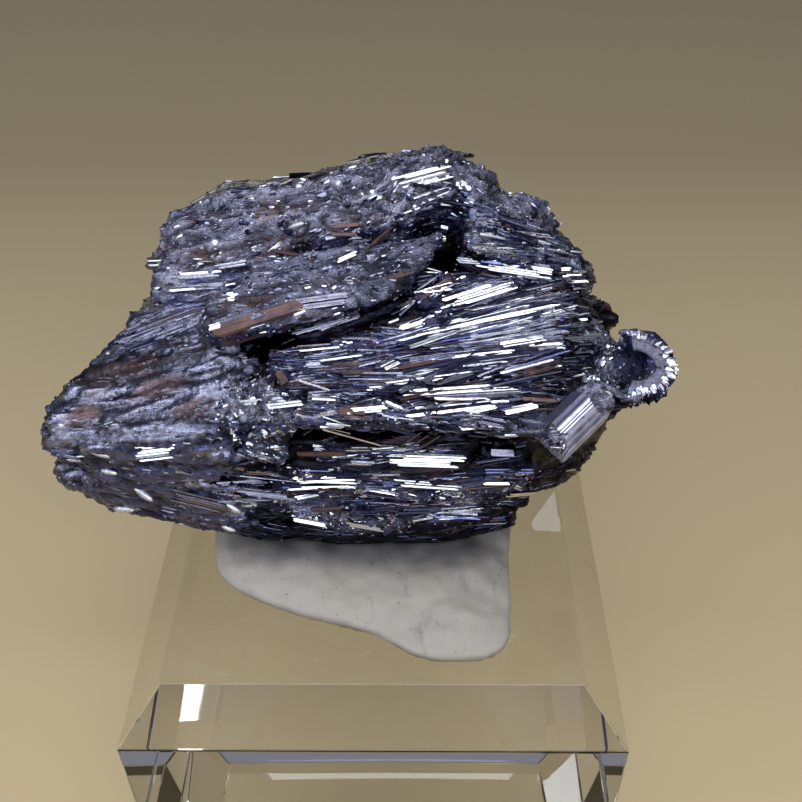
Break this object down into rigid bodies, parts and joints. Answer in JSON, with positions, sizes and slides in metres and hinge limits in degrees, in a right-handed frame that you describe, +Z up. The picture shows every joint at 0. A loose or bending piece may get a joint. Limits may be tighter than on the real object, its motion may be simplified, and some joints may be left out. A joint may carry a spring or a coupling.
{
  "type": "stibnite crystal spray",
  "caption": "Metallic grey stibnite spray of fanned flat blades with a worn lobe and hooked shell, bedded in putty on a clear chamfered display block.",
  "frame": {"origin": "centre of the display block's underside", "axes": "+X along the spray's length, to the right as seen from its display face; +Y away from the display face; +Z up"},
  "size_m": [0.0645, 0.0624, 0.057],
  "materials": {
    "stibnite": "metallic, striated",
    "putty": "satin, flecked with grey",
    "clear_block": "polished, colourless"
  },
  "bodies": {
    "root": {"stibnite_spray": "stibnite", "mounting_putty": "putty", "display_block": "clear_block"}
  },
  "joints": []
}
